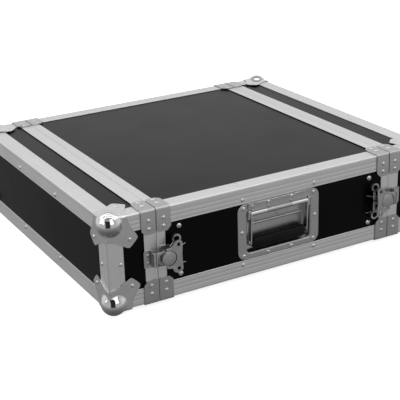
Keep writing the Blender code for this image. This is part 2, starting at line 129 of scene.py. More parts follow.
def grey(level, warmth=0.0):
    return (level * (1 + warmth), level, level * (1 - warmth), 1)


def added(name, data):
    """A new object that stands in the scene."""
    made = bpy.data.objects.new(name, data)
    bpy.context.scene.collection.objects.link(made)
    return made


camera_azimuth = math.radians(60.85)
camera_elevation = math.radians(21.63)
camera_roll = math.radians(-1.86)
camera_distance = 1.8288
camera_aim = Vector((0.0752, -0.0371, 0.0704))
flat = math.cos(camera_elevation)
camera_back = Vector((math.sin(camera_azimuth) * flat, -math.cos(camera_azimuth) * flat, 0))
camera_back.z = math.sin(camera_elevation)
camera = added("camera", bpy.data.cameras.new("camera"))
camera.data.lens = 95.76
camera.data.sensor_width = 36.0
camera.location = camera_aim + camera_back * camera_distance
camera.rotation_mode = "QUATERNION"
camera.rotation_quaternion = (-camera_back).to_track_quat("-Z", "Y") @ Quaternion((0, 0, 1), camera_roll)
bpy.context.scene.camera = camera
bpy.context.scene.view_settings.view_transform = "Standard"

studio = bpy.data.worlds.new("studio")
studio.use_nodes = True
bpy.context.scene.world = studio
sky = Wire(studio.node_tree)
direction = sky.node("TexCoord")
towards = (math.sin(camera_azimuth), -math.cos(camera_azimuth), 0)
across = (math.cos(camera_azimuth), math.sin(camera_azimuth), 0)
height = sky.node("VectorMath", {"operation": "DOT_PRODUCT"}, {0: direction, 1: (0, 0, 1)}, out=1)
ahead = sky.node("VectorMath", {"operation": "DOT_PRODUCT"}, {0: direction, 1: towards}, out=1)
aside = sky.node("VectorMath", {"operation": "DOT_PRODUCT"}, {0: direction, 1: across}, out=1)
below = height.step(-1.0, -0.1).blend(grey(0.13), grey(0.43))
behind = height.step(0.45, 0.95).blend(grey(0.90), grey(0.42))
before = height.step(0.0, 0.9).blend(grey(0.62), grey(0.42))
above = ahead.step(-0.2, 0.4).blend(behind, before)
surround = (height + ahead * 0.13).step(-0.32, -0.10).blend(below, above)
operator = ahead.step(0.25, 0.45) * (1 - aside.maths("ABSOLUTE", aside).step(0.28, 0.42))
operator = operator * height.step(-0.42, -0.22) * (1 - height.step(0.62, 0.70))
surround = operator.blend(surround, grey(0.03))
seen = sky.node("LightPath", out="Is Camera Ray")
background = studio.node_tree.nodes["Background"]
seen.blend(surround, grey(1.0)).feed(background.inputs["Color"])


def soft_box(name, place, aim, wide, high, brightness):
    """A rectangular soft box whose face has this radiance."""
    lamp = bpy.data.lights.new(name, "AREA")
    lamp.shape = "RECTANGLE"
    lamp.size = wide
    lamp.size_y = high
    lamp.energy = brightness * math.pi * wide * high
    made = added(name, lamp)
    made.location = place
    made.rotation_mode = "QUATERNION"
    made.rotation_quaternion = (Vector(aim) - Vector(place)).to_track_quat("-Z", "Y")
    return made


radiance = 1.35
strip_gap = 0.55
strip_up = 1.75
for strip in (-1, 0, 1):
    place = Vector(towards) * (strip_gap * strip) + Vector((0, 0, strip_up))
    box = soft_box(f"overhead_{strip + 1}", place, place - Vector((0, 0, 1)), 5.0, 0.40, radiance)
    box.rotation_quaternion = Quaternion((0, 0, 1), camera_azimuth)
window_far = 1.7
window_up = 1.15
window_high = 1.5
for side, turn, wide in (("left", -52, 1.5), ("right", 31, 0.95)):
    turn = math.radians(turn)
    heading = Vector(towards) * math.cos(turn) + Vector(across) * math.sin(turn)
    place = window_far * heading + Vector((0, 0, window_up))
    soft_box(f"window_{side}", place, (0, 0, 0.3), wide, window_high, radiance)

floor_mesh = bpy.data.meshes.new("floor")
floor_shape = bmesh.new()
bmesh.ops.create_grid(floor_shape, x_segments=1, y_segments=1, size=9.0)
floor_shape.to_mesh(floor_mesh)
floor_shape.free()
floor = added("floor", floor_mesh)
floor.visible_glossy = False
paper = bpy.data.materials.new("floor_paper")
paper.use_nodes = True
paper_shader = paper.node_tree.nodes["Principled BSDF"]
paper_shader.inputs["Specular IOR Level"].default_value = 0.0
paper_shader.inputs["Roughness"].default_value = 0.9
paper_shader.inputs["Emission Color"].default_value = grey(1.0)
paper_shader.inputs["Emission Strength"].default_value = 0.75
paper_grain = Wire(paper.node_tree).node("TexNoise", inputs={"Scale": 30.0, "Detail": 4.0})
paper_grain.blend(grey(0.93), grey(0.96)).feed(paper_shader.inputs["Base Color"])
floor_mesh.materials.append(paper)


# ---- Panels ----
# 6.7 mm birch ply, faced on both sides with a thin black laminate that has a fine moulded grain.
# They slot behind the aluminium, and each lid is a face panel glued into a rim of four walls.


def new_finish(name):
    """A material, the start of its node tree, and its shader's sockets."""
    made = bpy.data.materials.new(name)
    made.use_nodes = True
    return made, Wire(made.node_tree), made.node_tree.nodes["Principled BSDF"].inputs


def stretched(start, long_axis, stretch, scale, detail=3.0):
    """Noise drawn out along one axis of the piece, such as the lines that rolling leaves in metal."""
    squeeze = [1.0, 1.0, 1.0]
    squeeze["XYZ".index(long_axis)] = 1 / stretch
    place = start.node("TexCoord", out="Object")
    place = start.node("VectorMath", {"operation": "MULTIPLY"}, {0: place, 1: tuple(squeeze)})
    return start.node("TexNoise", inputs={"Vector": place, "Scale": scale, "Detail": detail})


def laminate_finish(name, gloss):
    made, start, shader = new_finish(name)
    place = start.node("TexCoord", out="Object")
    cloud = start.node("TexNoise", inputs={"Vector": place, "Scale": 9.0, "Detail": 5.0})
    pebble = start.node("TexVoronoi", {"feature": "SMOOTH_F1"}, {"Vector": place, "Scale": 1300.0})
    thread = stretched(start, "Y", 14.0, 900.0)
    scuff = stretched(start, "X", 40.0, 160.0, 6.0).step(0.70, 0.78)
    tone = cloud * 0.5 + thread * 0.5
    tone.blend(grey(0.0001), grey(0.0003)).feed(shader["Base Color"])
    (0.27 + cloud * 0.10 + scuff * 0.10).feed(shader["Roughness"])
    relief = pebble * 0.6 + thread * 0.4
    start.node("Bump", inputs={"Strength": 0.16, "Distance": 0.0002, "Height": relief}).feed(shader["Normal"])
    shader["Specular IOR Level"].default_value = gloss
    return made


laminate = laminate_finish("black_laminate", 0.09)
face_laminate = laminate_finish("black_laminate_of_lid_faces", 0.055)
panels = ["top_panel", "bottom_panel", "left_side_panel", "right_side_panel"]
panels += [f"{end}_lid_{part}" for end in ("front", "rear") for part in ("face_panel", "rim")]
for name in panels:
    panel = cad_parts[name]
    panel.material_slots[0].material = face_laminate if name.endswith("face_panel") else laminate


# ---- Edge angles of the body ----
# Extruded aluminium L-section, 27 mm a leg and 1.3 mm thick, with three narrow flutes drawn down the
# outside of each leg. Cut between the locking frames and riveted over the panels' long edges.

half_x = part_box("top_right_edge_angle")[1].x
top_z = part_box("top_right_edge_angle")[1].z
bottom_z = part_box("bottom_right_edge_angle")[0].z
middle_z = (top_z + bottom_z) / 2
half_z = (top_z - bottom_z) / 2
half_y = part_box("rear_lid_edge_angles")[1].y
angle_leg = half_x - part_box("top_right_edge_angle")[0].x
angle_thick = 0.0013
angle_nose = 0.0018
flutes = (0.0108, 0.0175, 0.0244)


def rounded(corners, steps=4):
    """A closed outline with each corner (x, y, radius) turned into an arc."""
    points = []
    for i, (x, y, radius) in enumerate(corners):
        here = Vector((x, y))
        back = (Vector(corners[i - 1][:2]) - here).normalized()
        on = (Vector(corners[(i + 1) % len(corners)][:2]) - here).normalized()
        turn = back.angle(on)
        if radius == 0 or turn > math.pi - 0.01:
            points.append((x, y))
            continue
        middle = here + (back + on).normalized() * (radius / math.sin(turn / 2))
        first = here + back * (radius / math.tan(turn / 2)) - middle
        last = here + on * (radius / math.tan(turn / 2)) - middle
        sweep = first.angle_signed(last)
        for step in range(steps + 1):
            point = middle + Matrix.Rotation(-sweep * step / steps, 2) @ first
            points.append((point.x, point.y))
    return points


def leg_surface(leg):
    """(distance from the nose, depth) points down the outside of one leg, flutes included."""
    half_wide = 0.0012
    deep = 0.00014
    points = [(0.0035, 0.0)]
    for flute in flutes:
        for step in range(-4, 5):
            share = step / 4
            points.append((flute + share * half_wide, deep * (1 + math.cos(math.pi * share)) / 2))
    points += [(leg - 0.0004, 0.0), (leg, 0.0004)]
    return points


def angle_outline(leg):
    """The section of an edge angle, as (along one leg, along the other), its nose at (0, 0)."""
    outside = leg_surface(leg)
    nose = []
    for step in range(5):
        turn = math.radians(90 * step / 4)
        nose.append((angle_nose * (1 - math.sin(turn)), angle_nose * (1 - math.cos(turn))))
    first = [(along, depth) for along, depth in reversed(outside)]
    second = [(depth, along) for along, depth in outside]
    inside = [(angle_thick, leg), (angle_thick, angle_thick), (leg, angle_thick)]
    return first + nose + second + inside


def loft(shape, loops):
    """Skins a row of loops that have as many points each, with a face over each end."""
    rows = [[shape.verts.new(point) for point in loop] for loop in loops]
    count = len(rows[0])
    shape.faces.new(rows[0])
    shape.faces.new(rows[-1])
    for near, far in zip(rows, rows[1:]):
        for i in range(count):
            j = (i + 1) % count
            shape.faces.new((near[i], near[j], far[j], far[i]))
    return shape


def round_edges(piece, width, limit):
    bevel = piece.modifiers.new("edges", "BEVEL")
    bevel.width = width
    bevel.segments = 2
    bevel.limit_method = "ANGLE"
    bevel.angle_limit = math.radians(limit)
    return bevel


def worked_out(carrier):
    """The mesh that an object's curve or modifiers make. The object itself is thrown away."""
    graph = bpy.context.evaluated_depsgraph_get()
    made = bpy.data.meshes.new_from_object(carrier.evaluated_get(graph))
    bpy.data.objects.remove(carrier, do_unlink=True)
    return made


def finished(shape, edge=0.0, limit=40):
    """The shape's mesh, smooth shaded, with every edge sharper than the limit rounded or left crisp."""
    bmesh.ops.remove_doubles(shape, verts=shape.verts, dist=1e-6)
    bmesh.ops.recalc_face_normals(shape, faces=shape.faces)
    mesh = bpy.data.meshes.new("shape")
    shape.to_mesh(mesh)
    shape.free()
    mesh.shade_smooth()
    if not edge:
        mesh.set_sharp_from_angle(angle=math.radians(limit))
        return mesh
    carrier = added("shape", mesh)
    round_edges(carrier, edge, limit).harden_normals = True
    return worked_out(carrier)


def show(name, mesh, finish, body, replaces=(), place=(0, 0, 0), signs=(1, 1, 1)):
    """Puts a finished mesh in the case as a piece that rides on a body. Signs mirror it to its side."""
    if not mesh.materials:
        mesh.materials.append(finish)
    piece = added(name, mesh)
    piece.location = place
    piece.scale = signs
    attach(piece, body)
    if replaces:
        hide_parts(*replaces)
    return piece


def worn_edges(start):
    """1 along the outer edges, where handling rubs the surface bright, and 0 elsewhere."""
    return start.node("NewGeometry", out="Pointiness").step(0.53, 0.62)


def aluminium_finish(long_axis):
    """Mill finish aluminium with the die's lines along the axis it was drawn on."""
    made, start, shader = new_finish(f"aluminium_drawn_along_{long_axis.lower()}")
    line = stretched(start, long_axis, 60.0, 900.0, 4.0)
    broad = stretched(start, long_axis, 30.0, 120.0)
    place = start.node("TexCoord", out="Object")
    cloud = start.node("TexNoise", inputs={"Vector": place, "Scale": 22.0, "Detail": 6.0})
    scratch = stretched(start, long_axis, 9.0, 420.0, 2.0).step(0.73, 0.76)
    tone = line * 0.35 + broad * 0.35 + cloud * 0.30 + worn_edges(start) * 0.12
    tone.blend(grey(0.60, 0.004), grey(0.76, 0.004)).feed(shader["Base Color"])
    (0.34 + cloud * 0.10 + line * 0.06 - scratch * 0.08).feed(shader["Roughness"])
    relief = line * 0.7 + broad * 0.3 - scratch * 0.4
    start.node("Bump", inputs={"Strength": 0.16, "Distance": 0.0001, "Height": relief}).feed(shader["Normal"])
    shader["Metallic"].default_value = 1.0
    return made


aluminium = {axis: aluminium_finish(axis) for axis in "XYZ"}
for side, sx in (("left", -1), ("right", 1)):
    for level, sz in (("top", 1), ("bottom", -1)):
        node = f"{level}_{side}_edge_angle"
        low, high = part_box(node)
        section = [(sx * (half_x - a), middle_z + sz * (half_z - b)) for a, b in angle_outline(angle_leg)]
        loops = [[(x, y, z) for x, z in section] for y in (low.y, high.y)]
        mesh = finished(loft(bmesh.new(), loops), limit=30)
        show(f"{node}_fluted", mesh, aluminium["Y"], "case_body", [node])


# ---- Locking frames ----
# Two extrusions that close on each other round each opening: the body's half has a tongue that drops
# in the lid's groove. Each half is four lengths, mitred at the corners and riveted over the ply.

tongue_long = 0.004
tongue_thick = 0.002
body_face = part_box("rear_body_locking_frame")[1].y - tongue_long
lid_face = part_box("rear_lid_locking_frame")[0].y
body_strip = 0.0147
lid_strip = 0.0204
groove_middle = 0.00415
web_depth = 0.0083
soft = 0.0003
undercut = 0.0025

body_lock = rounded([
    (body_face - body_strip, 0, 0),
    (body_face, 0, soft),
    (body_face, groove_middle - tongue_thick / 2, 0),
    (body_face + tongue_long, groove_middle - tongue_thick / 2, soft),
    (body_face + tongue_long, groove_middle + tongue_thick / 2, soft),
    (body_face, groove_middle + tongue_thick / 2, 0),
    (body_face, web_depth, 0),
    (body_face - angle_thick, web_depth, 0),
    (body_face - angle_thick, angle_thick, 0),
    (body_face - body_strip + undercut, angle_thick, 0),
    (body_face - body_strip, soft, 0),
], 2)
groove_half = tongue_thick / 2 + 0.0003
groove_end = lid_face + tongue_long + 0.0006
lid_lock = rounded([
    (lid_face, 0, soft),
    (lid_face + lid_strip, 0, 0),
    (lid_face + lid_strip, soft, 0),
    (lid_face + lid_strip - undercut, angle_thick, 0),
    (groove_end + angle_thick, angle_thick, 0),
    (groove_end + angle_thick, web_depth, 0),
    (lid_face, web_depth, 0),
    (lid_face, groove_middle + groove_half, 0),
    (groove_end, groove_middle + groove_half, 0),
    (groove_end, groove_middle - groove_half, 0),
    (lid_face, groove_middle - groove_half, 0),
], 2)
lengths = {
    "top": ("X", (-1, 1), (1, 1)),
    "bottom": ("X", (-1, -1), (1, -1)),
    "left": ("Z", (-1, -1), (-1, 1)),
    "right": ("Z", (1, -1), (1, 1)),
}


def round_the_case(section, sy, name, body, node):
    """Four mitred lengths of one section, whose points are (distance along Y, depth below the side)."""
    for where, (axis, *corners) in lengths.items():
        loops = []
        for sx, sz in corners:
            loops.append([(sx * (half_x - d), sy * y, middle_z + sz * (half_z - d)) for y, d in section])
        mesh = finished(loft(bmesh.new(), loops), limit=30)
        show(f"{name}_{where}", mesh, aluminium[axis], body, [node])


for end, sy in (("front", -1), ("rear", 1)):
    round_the_case(body_lock, sy, f"{end}_body_lock", "case_body", f"{end}_body_locking_frame")
    round_the_case(lid_lock, sy, f"{end}_lid_lock", f"{end}_lid", f"{end}_lid_locking_frame")


# ---- Edge angles of the lids ----
# The same fluted angle, mitred round each lid's face, with a short length along each of its four long
# edges up to the locking frame. The ball corners cover where they meet.

angle_end = 0.030
for end, sy in (("front", -1), ("rear", 1)):
    node = f"{end}_lid_edge_angles"
    section = [(half_y - a, b) for a, b in angle_outline(angle_leg)]
    round_the_case(section, sy, f"{end}_lid_face_angle", f"{end}_lid", node)
    for side, sx in (("left", -1), ("right", 1)):
        for level, sz in (("top", 1), ("bottom", -1)):
            section = [(sx * (half_x - a), middle_z + sz * (half_z - b)) for a, b in angle_outline(angle_leg)]
            ends = (sy * (lid_face + lid_strip + 0.0003), sy * (half_y - angle_end))
            mesh = finished(loft(bmesh.new(), [[(x, y, z) for x, z in section] for y in ends]), limit=30)
            name = f"{end}_lid_{level}_{side}_short_angle"
            show(name, mesh, aluminium["Y"], f"{end}_lid", [node])


# ---- Corner brackets ----
# Zinc plated steel, 1.5 mm, bent over the mitres of the locking frames, two rivets a leg. The corner
# beside the seam is nipped off and the outer one cut at an angle.

bracket_thick = 0.0015
bracket_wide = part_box("rear_lid_locking_frame")[1].y - lid_face - 0.0006
bracket_leg = 0.0375
bend_inside = angle_nose + 0.0003
half_bend = bend_inside * math.pi / 4


def plated_finish(name, dark, bright, rough):
    """Zinc plate: soft mottling, faint rolling lines, a few smooth scratches and rubbed edges."""
    made, start, shader = new_finish(name)
    place = start.node("TexCoord", out="Object")
    mottle = start.node("TexNoise", inputs={"Vector": place, "Scale": 260.0, "Detail": 5.0})
    cloud = start.node("TexNoise", inputs={"Vector": place, "Scale": 48.0, "Detail": 4.0})
    rolled = stretched(start, "Z", 18.0, 700.0)
    scratch = stretched(start, "Y", 16.0, 380.0, 2.0).step(0.72, 0.75)
    tone = mottle * 0.4 + cloud * 0.4 + rolled * 0.2 + worn_edges(start) * 0.5
    tone.blend(grey(dark, 0.004), grey(bright, 0.004)).feed(shader["Base Color"])
    (rough + mottle * 0.10 + cloud * 0.08 - scratch * 0.06).feed(shader["Roughness"])
    relief = mottle * 0.5 + rolled * 0.5 - scratch * 0.5
    start.node("Bump", inputs={"Strength": 0.12, "Distance": 0.0001, "Height": relief}).feed(shader["Normal"])
    shader["Metallic"].default_value = 1.0
    return made


zinc = plated_finish("zinc_plate", 0.36, 0.56, 0.22)


def slab(shape, outlines, low, high, normal="Z"):
    """Adds closed outlines, the later ones holes, as a plate between two heights along an axis."""
    curve = bpy.data.curves.new("outline", "CURVE")
    curve.dimensions = "2D"
    curve.fill_mode = "BOTH"
    curve.extrude = (high - low) / 2
    for outline in outlines:
        spline = curve.splines.new("POLY")
        spline.points.add(len(outline) - 1)
        for point, (x, y) in zip(spline.points, outline):
            point.co = (x, y, 0, 1)
        spline.use_cyclic_u = True
    mesh = worked_out(added("outline", curve))
    turns = {
        "X": Matrix(((0, 0, 1, 0), (1, 0, 0, 0), (0, 1, 0, 0), (0, 0, 0, 1))),
        "Y": Matrix(((1, 0, 0, 0), (0, 0, -1, 0), (0, 1, 0, 0), (0, 0, 0, 1))),
        "Z": Matrix.Identity(4),
    }
    along = Vector([float(axis == normal) for axis in "XYZ"])
    mesh.transform(Matrix.Translation(along * (low + high) / 2) @ turns[normal])
    shape.from_mesh(mesh)
    bpy.data.meshes.remove(mesh)
    return shape


def turned(shape, profile, place=Matrix.Identity(4), steps=24):
    """Adds a profile of (radius, height) points, first and last on the axis, spun about local Z."""
    rows = []
    for radius, high in profile:
        if radius == 0:
            rows.append([shape.verts.new(place @ Vector((0, 0, high)))])
            continue
        angles = [2 * math.pi * i / steps for i in range(steps)]
        ring = [Vector((radius * math.cos(a), radius * math.sin(a), high)) for a in angles]
        rows.append([shape.verts.new(place @ point) for point in ring])
    for near, far in zip(rows, rows[1:]):
        for i in range(steps):
            j = (i + 1) % steps
            around = [near[i % len(near)], near[j % len(near)], far[j % len(far)], far[i % len(far)]]
            corners = list(dict.fromkeys(around))
            if len(corners) > 2:
                shape.faces.new(corners)
    return shape


def bent_bracket():
    """A bracket with its bend along local Y, the case on the positive sides of X and Z."""
    long = half_bend + bracket_leg - angle_nose
    leg = [(long - 0.0025, 0, 0.002), (long, 0.0025, 0.002)]
    leg += [(long, bracket_wide - 0.0065, 0.003), (long - 0.0065, bracket_wide, 0.003)]
    plan = rounded(leg + [(-along, across_it, radius) for along, across_it, radius in reversed(leg)])
    shape = slab(bmesh.new(), [plan], 0, bracket_thick)
    bmesh.ops.remove_doubles(shape, verts=shape.verts, dist=1e-6)
    for step in range(-4, 5):
        cut = (half_bend * step / 4, 0, 0)
        everything = shape.verts[:] + shape.edges[:] + shape.faces[:]
        bmesh.ops.bisect_plane(shape, geom=everything, plane_co=cut, plane_no=(1, 0, 0))
    for vert in shape.verts:
        along, across_it, high = vert.co
        radius = bend_inside + high
        turn = math.radians(225 - 45 * max(-1, min(1, along / half_bend)))
        beyond = max(0, abs(along) - half_bend)
        x = angle_nose + radius * math.cos(turn) + (beyond if along < 0 else 0)
        z = angle_nose + radius * math.sin(turn) + (beyond if along > 0 else 0)
        vert.co = (x, across_it, z)
    return finished(shape, 0.0003)


def dome_rivet(shape, place, across_head=0.0066, tall=0.0017):
    """Adds a blind rivet's dome head, with the hole its mandrel was drawn through in the middle."""
    radius = across_head / 2
    profile = [(0, tall * 0.15), (radius * 0.27, tall * 0.20), (radius * 0.30, tall * 0.88)]
    for step in range(7):
        turn = math.radians(24 + 62 * step / 6)
        profile.append((radius * math.sin(turn), tall * math.cos(turn)))
    profile += [(radius, 0), (0, 0)]
    return turned(shape, profile, place, 24)


def facing(place, normal):
    """Local Z turned to face along a normal, standing at a place."""
    return Matrix.Translation(place) @ Vector(normal).to_track_quat("Z", "Y").to_matrix().to_4x4()


bracket_mesh = bent_bracket()
rivet_steel = plated_finish("rivet_steel", 0.52, 0.74, 0.14)
bracket_rivets = bmesh.new()
head = -0.0003 - bracket_thick
for along in (0.0156, 0.0290):
    dome_rivet(bracket_rivets, facing((head, 0.0115, along), (-1, 0, 0)))
for along in (0.0177, 0.0320):
    dome_rivet(bracket_rivets, facing((along, 0.0115, head), (0, 0, -1)))
bracket_rivets = finished(bracket_rivets)
for end, sy in (("front", -1), ("rear", 1)):
    halves = [("body", "case_body", body_face - 0.0006, -1), ("lid", f"{end}_lid", lid_face + 0.0006, 1)]
    for half, body, edge, away in halves:
        for side, sx in (("left", -1), ("right", 1)):
            for level, sz in (("top", 1), ("bottom", -1)):
                corner = (sx * half_x, sy * edge, middle_z + sz * half_z)
                signs = (-sx, sy * away, -sz)
                name = f"{end}_{half}_{level}_{side}_bracket"
                show(name, bracket_mesh, zinc, body, place=corner, signs=signs)
                name += "_rivets"
                show(name, bracket_rivets, rivet_steel, body, place=corner, signs=signs)


# ---- Ball corners ----
# Pressed from 1.4 mm steel and chromed: a ball over the corner runs out through a small radius into
# three petals, each riveted through at its tip.

ball_inset = 0.0109
ball_radius = ball_inset + cad_high.z - top_z
plate_top = 0.0018


def chrome_finish(name, rough):
    """Chrome with a faint haze and small scuffs, bright where it is smooth and satin where rougher."""
    made, start, shader = new_finish(name)
    place = start.node("TexCoord", out="Object")
    haze = start.node("TexNoise", inputs={"Vector": place, "Scale": 60.0, "Detail": 6.0})
    haze = haze + worn_edges(start) * 0.3
    scuff = start.node("TexNoise", inputs={"Vector": place, "Scale": 420.0, "Detail": 2.0, "Distortion": 1.5})
    scuff = scuff.step(0.70, 0.76)
    haze.blend(grey(0.56), grey(0.70)).feed(shader["Base Color"])
    (rough + haze * 0.04 + scuff * 0.08).feed(shader["Roughness"])
    relief = haze * 0.6 + scuff * 0.4
    start.node("Bump", inputs={"Strength": 0.05, "Distance": 0.0002, "Height": relief}).feed(shader["Normal"])
    shader["Metallic"].default_value = 1.0
    return made


def petal_outline():
    """The edge of one face's petal, whose tip lies on the diagonal, drawn from the case's corner."""
    half = [(0.0353, -0.0090, 0), (0.0353, -0.0010, 0.002), (0.0380, 0.0135, 0.030), (0.0496, 0.0326, 0.012)]
    half += [(0.0512, 0.0368, 0.0045), (0.0470, 0.0415, 0.010)]
    tip = [(0.0443, 0.0443, 0)]
    mirrored = [(b, a, radius) for a, b, radius in reversed(half)]
    return rounded(half + tip + mirrored + [(-0.0090, -0.0090, 0)])


def petal_reach(outline, turn):
    """How far the outline is from the ball's axis in one direction."""
    ahead_x, ahead_y = math.cos(turn), math.sin(turn)
    found = []
    for (x0, y0), (x1, y1) in zip(outline, outline[1:] + outline[:1]):
        x0, y0, x1, y1 = x0 - ball_inset, y0 - ball_inset, x1 - ball_inset, y1 - ball_inset
        across_edge = ahead_x * (y1 - y0) - ahead_y * (x1 - x0)
        if abs(across_edge) < 1e-12:
            continue
        far = (x0 * (y1 - y0) - y0 * (x1 - x0)) / across_edge
        share = (x0 * ahead_y - y0 * ahead_x) / across_edge
        if far > 0 and -1e-6 <= share <= 1 + 1e-6:
            found.append(far)
    return min(found)


def ball_corner_height(a, b):
    """How far the sheet stands out of one face: ball and plate, run into each other by a radius."""
    bend = 0.003
    plate = plate_top
    for along in (a, b):
        past = bend - plate_top - along
        if past > 0:
            plate -= bend - math.sqrt(max(bend * bend - past * past, 0.0)) + 3 * max(0.0, past - bend)
    spare = ball_radius**2 - (a - ball_inset) ** 2 - (b - ball_inset) ** 2
    ball = (math.sqrt(spare) if spare > 0 else 0.0) - ball_inset
    run = 0.0032
    return max(ball, plate) + max(run - abs(ball - plate), 0.0) ** 2 / (4 * run)


def ball_corner():
    """Three alike faces, each built out from the ball's pole and cut where it meets its neighbours."""
    outline = petal_outline()
    turns = [math.radians(3 * i) for i in range(120)]
    turns += [math.atan2(b - ball_inset, a - ball_inset) % (2 * math.pi) for a, b in outline]
    turns = sorted({round(turn, 5) for turn in turns})
    stops = [0.003 * i for i in range(1, 4)] + [0.0105 + 0.0009 * i for i in range(11)]
    shape = bmesh.new()
    for first, second in ((1, 2), (2, 0), (0, 1)):
        normal = 3 - first - second
        rows = []
        for turn in turns:
            reach = petal_reach(outline, turn)
            radii = [min(stop, reach) for stop in stops]
            beyond = max(0.0, reach - stops[-1])
            radii += [radii[-1] + beyond * share / 5 for share in range(1, 6)]
            row = []
            for radius in [0.0] + radii:
                a = ball_inset + radius * math.cos(turn)
                b = ball_inset + radius * math.sin(turn)
                spot = [0.0, 0.0, 0.0]
                spot[first], spot[second], spot[normal] = a, b, -ball_corner_height(a, b)
                row.append(spot)
            rows.append(row)
        sector = bmesh.new()
        grid = [[sector.verts.new(spot) for spot in row] for row in rows]
        for near, far in zip(grid, grid[1:] + grid[:1]):
            for i in range(len(near) - 1):
                sector.faces.new((near[i], near[i + 1], far[i + 1], far[i]))
        bmesh.ops.remove_doubles(sector, verts=sector.verts, dist=1e-6)
        for other in (first, second):
            plane = [0.0, 0.0, 0.0]
            plane[normal], plane[other] = 1.0, -1.0
            everything = sector.verts[:] + sector.edges[:] + sector.faces[:]
            cut = {"plane_co": (0, 0, 0), "plane_no": plane, "clear_outer": True}
            bmesh.ops.bisect_plane(sector, geom=everything, **cut)
        part = bpy.data.meshes.new("sector")
        sector.to_mesh(part)
        sector.free()
        shape.from_mesh(part)
        bpy.data.meshes.remove(part)
    bmesh.ops.remove_doubles(shape, verts=shape.verts, dist=2e-5)
    bmesh.ops.recalc_face_normals(shape, faces=shape.faces)
    return thickened(shape, 0.0014, 0.0005)


def thickened(shape, thick, edge):
    """The mesh of a pressed sheet: a surface given its thickness inwards, its cut edges rounded."""
    mesh = bpy.data.meshes.new("sheet")
    shape.to_mesh(mesh)
    shape.free()
    mesh.shade_smooth()
    carrier = added("sheet", mesh)
    solidify = carrier.modifiers.new("thickness", "SOLIDIFY")
    solidify.thickness = thick
    solidify.offset = -1
    round_edges(carrier, edge, 50).harden_normals = True
    return worked_out(carrier)


chrome = chrome_finish("bright_chrome", 0.02)
ball_mesh = ball_corner()
petal_rivets = bmesh.new()
tip = 0.0375
for axis in range(3):
    spot = [tip, tip, tip]
    spot[axis] = -plate_top
    outward = [0.0, 0.0, 0.0]
    outward[axis] = -1.0
    dome_rivet(petal_rivets, facing(spot, outward))
petal_rivets = finished(petal_rivets)
for end, sy in (("front", -1), ("rear", 1)):
    for level, sz in (("top", 1), ("bottom", -1)):
        for side, sx in (("left", -1), ("right", 1)):
            node = f"{end}_{level}_{side}_ball_corner"
            corner = (sx * half_x, sy * half_y, middle_z + sz * half_z)
            signs = (-sx, -sy, -sz)
            show(f"{node}_pressing", ball_mesh, chrome, f"{end}_lid", [node], corner, signs)
            name = f"{node}_rivets"
            show(name, petal_rivets, rivet_steel, f"{end}_lid", place=corner, signs=signs)


# ---- Butterfly latches ----
# Stamped, zinc plated steel. Turning the wing turns the hub, which draws the hook back over the
# keeper's lip and pulls the lid tight. Drawn with X proud of the aluminium and Y away from the seam.

latch_y = 0.206
latch_low = 0.002
hub_radius = 0.0113
post_radius = 0.0079
hub_clear = hub_radius + 0.0010
eye_place = (0.0185, 0.0242)
wing_pin = (0.0155, -0.0030)
latch_zinc = plated_finish("latch_plate", 0.34, 0.54, 0.20)


def circle(x, y, radius, steps=24):
    turns = [2 * math.pi * i / steps for i in range(steps)]
    return [(x + radius * math.cos(turn), y + radius * math.sin(turn)) for turn in turns]


def rectangle(x0, y0, x1, y1, radius=0.0, steps=4):
    return rounded([(x0, y0, radius), (x1, y0, radius), (x1, y1, radius), (x0, y1, radius)], steps)


def rod(shape, radius, start, end, steps=16):
    """Adds a round bar between two points, its ends a little chamfered."""
    start, end = Vector(start), Vector(end)
    long = (end - start).length
    nip = radius * 0.3
    profile = [(0, 0), (radius - nip, 0), (radius, nip)]
    profile += [(radius, long - nip), (radius - nip, long), (0, long)]
    return turned(shape, profile, facing(start, end - start), steps)


def latch_base():
    shape = slab(bmesh.new(), [rectangle(-0.0080, -0.0165, 0.0100, 0.0165, 0.003)], 0.0003, 0.0023, "X")
    slab(shape, [rectangle(0.0080, -0.0080, 0.0180, 0.0080, 0.001)], 0.0003, 0.0022, "X")
    y, z = eye_place
    for side in (-1, 1):
        ring = [circle(y, side * z, 0.0075, 28), circle(y, side * z, 0.0046, 28)]
        slab(shape, ring, 0.0003, 0.0062, "X")
        rod(shape, 0.0021, (0.0032, y, side * 0.002), (0.0032, y, side * (z - 0.0055)))
        rod(shape, 0.0013, (0.0024, 0.0085, side * 0.0120), (0.0032, y - 0.004, side * (z - 0.0055)))
    rod(shape, 0.0006, (0.0030, 0.0195, 0.0070), (0.0030, 0.0345, 0.0125))
    rod(shape, 0.0006, (0.0030, 0.0195, -0.0185), (0.0030, 0.0345, -0.0185))
    rod(shape, 0.0025, (0.0010, 0, 0), (0.0134, 0, 0))
    return finished(shape, 0.0004)


def latch_hook():
    """A flat plate slotted for the hub, with a groove pressed across it just short of its claw."""
    throw = 0.005
    nose = [(0.0063, -0.0240), (0.0125, -0.0240), (0.0127, -0.0212), (0.0112, -0.0208), (0.0112, -0.0200)]
    nose += [(0.0125, -0.0196), (0.0125, -0.0165), (0.0105, -0.0165), (0.0105, -0.0220), (0.0063, -0.0220)]
    shape = loft(bmesh.new(), [[(x, y, z) for x, y in nose] for z in (-0.0110, 0.0110)])
    clear = post_radius + 0.0003
    slot = rectangle(-0.0160, -clear, clear + throw, clear, 0.0080, 6)
    plate = [(-0.0165, -0.0110, 0), (0.0145, -0.0110, 0.003), (0.0145, 0.0110, 0.003), (-0.0165, 0.0110, 0)]
    plate = rounded(plate)
    slab(shape, [plate, slot], 0.0105, 0.0125, "X")
    return finished(shape, 0.0003)


